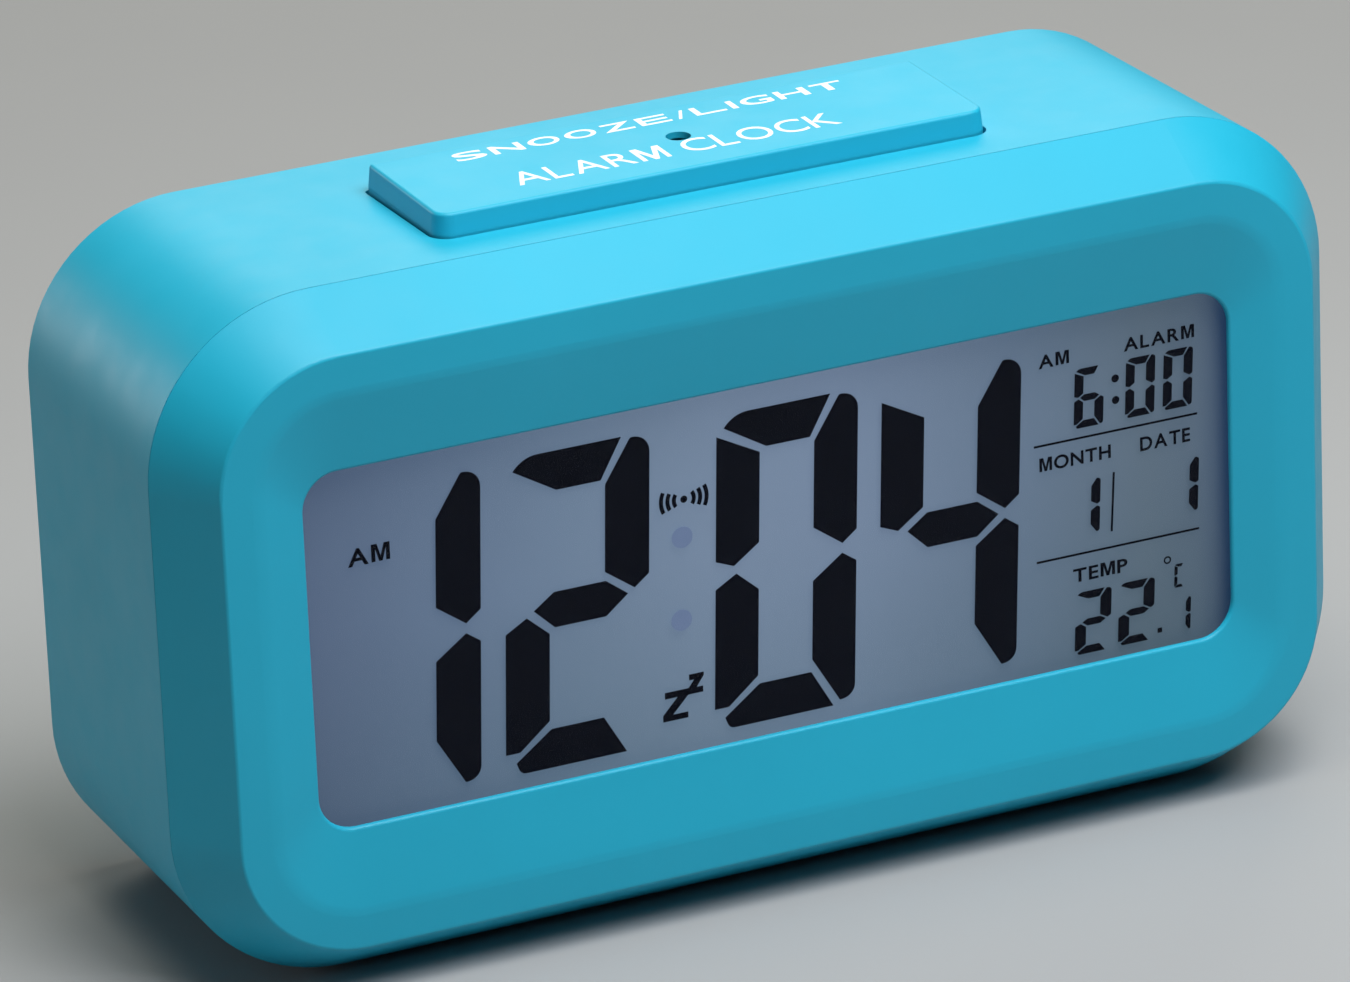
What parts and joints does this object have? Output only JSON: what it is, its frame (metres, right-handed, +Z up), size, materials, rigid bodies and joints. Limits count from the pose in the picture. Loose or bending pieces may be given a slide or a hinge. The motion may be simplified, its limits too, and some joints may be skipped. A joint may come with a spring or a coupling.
{
  "type": "digital alarm clock",
  "caption": "Rounded-box digital alarm clock: LCD window in a sloped bezel, snooze bar on top, rear keys, slide switches and a hinged battery door.",
  "frame": {"origin": "centre of the base, on the surface that the rubber feet stand on", "axes": "+Z up, -Y the way the display faces, +X to the right as seen from the front"},
  "size_m": [0.135, 0.045, 0.0786],
  "materials": {
    "case_plastic": "satin moulded ABS, cyan blue, fine mould grain",
    "foot_rubber": "matt black rubber pad",
    "screw_steel": "zinc-plated steel",
    "clear_lens": "clear acrylic window",
    "lcd_glass": "grey-lavender lit liquid crystal display",
    "light_guide": "frosted acrylic",
    "white_plastic": "white moulded plastic",
    "connector_rubber": "layered conductive rubber",
    "circuit_board": "green glass-epoxy laminate",
    "black_epoxy": "black epoxy and sleeve",
    "bright_metal": "nickel-plated steel",
    "sensor_ceramic": "pale ceramic",
    "black_plastic": "black moulded plastic",
    "buzzer_brass": "thin brass disc",
    "red_insulation": "red wire insulation",
    "black_insulation": "black wire insulation",
    "grey_insulation": "grey ribbon insulation",
    "cell_sleeve": "printed sleeve over a metal can"
  },
  "bodies": {
    "root": {"front_bezel": "case_plastic", "rear_case": "case_plastic", "rubber_feet": "foot_rubber", "case_screws": "screw_steel", "display_lens": "clear_lens", "battery_lower": "cell_sleeve", "battery_middle": "cell_sleeve", "battery_upper": "cell_sleeve", "lcd_panel": "lcd_glass", "light_guide": "light_guide", "lcd_frame": "white_plastic", "zebra_strip_upper": "connector_rubber", "zebra_strip_lower": "connector_rubber", "backlight_board": "circuit_board", "backlight_leds": "white_plastic", "main_board": "circuit_board", "board_screws": "screw_steel", "clock_chip": "black_epoxy", "crystal": "bright_metal", "capacitors": "black_epoxy", "snooze_board": "circuit_board", "snooze_board_screws": "screw_steel", "light_sensor": "sensor_ceramic", "key_board": "circuit_board", "key_board_screws": "screw_steel", "alarm_switch_housing": "bright_metal", "sensor_switch_housing": "bright_metal", "buzzer_plate": "buzzer_brass", "buzzer_ceramic": "sensor_ceramic", "thermistor": "black_epoxy", "contact_plate_left_lower": "bright_metal", "contact_plate_left_upper": "bright_metal", "contact_plate_right_lower": "bright_metal", "contact_plate_right_upper": "bright_metal", "battery_springs": "bright_metal", "battery_lead_red": "red_insulation", "battery_lead_black": "black_insulation", "buzzer_leads": "black_insulation", "key_ribbon": "grey_insulation", "snooze_ribbon": "grey_insulation", "snooze_switch_left": "black_plastic", "snooze_switch_right": "black_plastic", "mode_switch": "black_plastic", "set_switch": "black_plastic", "up_switch": "black_plastic", "down_switch": "black_plastic"},
    "snooze_bar": {"snooze_bar": "case_plastic", "snooze_plunger_left": "black_plastic", "snooze_plunger_right": "black_plastic"},
    "alarm_slider": {"alarm_slider": "black_plastic"},
    "sensor_slider": {"sensor_slider": "black_plastic"},
    "battery_door": {"battery_door": "case_plastic"},
    "mode_key": {"mode_key": "case_plastic", "mode_plunger": "black_plastic"},
    "set_key": {"set_key": "case_plastic", "set_plunger": "black_plastic"},
    "up_key": {"up_key": "case_plastic", "up_plunger": "black_plastic"},
    "down_key": {"down_key": "case_plastic", "down_plunger": "black_plastic"}
  },
  "joints": [
    {"name": "snooze_press", "type": "slide", "parent": "root", "child": "snooze_bar", "axis": [0, 0, -1], "range_m": [0, 0.0006], "stiffness_N_per_m": 3000},
    {"name": "mode_press", "type": "slide", "parent": "root", "child": "mode_key", "axis": [0, -1, 0], "range_m": [0, 0.0004], "stiffness_N_per_m": 3000},
    {"name": "set_press", "type": "slide", "parent": "root", "child": "set_key", "axis": [0, -1, 0], "range_m": [0, 0.0004], "stiffness_N_per_m": 3000},
    {"name": "up_press", "type": "slide", "parent": "root", "child": "up_key", "axis": [0, -1, 0], "range_m": [0, 0.0004], "stiffness_N_per_m": 3000},
    {"name": "down_press", "type": "slide", "parent": "root", "child": "down_key", "axis": [0, -1, 0], "range_m": [0, 0.0004], "stiffness_N_per_m": 3000},
    {"name": "alarm_slide", "type": "slide", "parent": "root", "child": "alarm_slider", "axis": [1, 0, 0], "range_m": [0, 0.002]},
    {"name": "sensor_slide", "type": "slide", "parent": "root", "child": "sensor_slider", "axis": [1, 0, 0], "range_m": [0, 0.002]},
    {"name": "door_hinge", "type": "hinge", "parent": "root", "child": "battery_door", "pos_m": [0, 0.0225, 0.0078], "axis": [-1, 0, 0], "range_deg": [0, 80]}
  ]
}
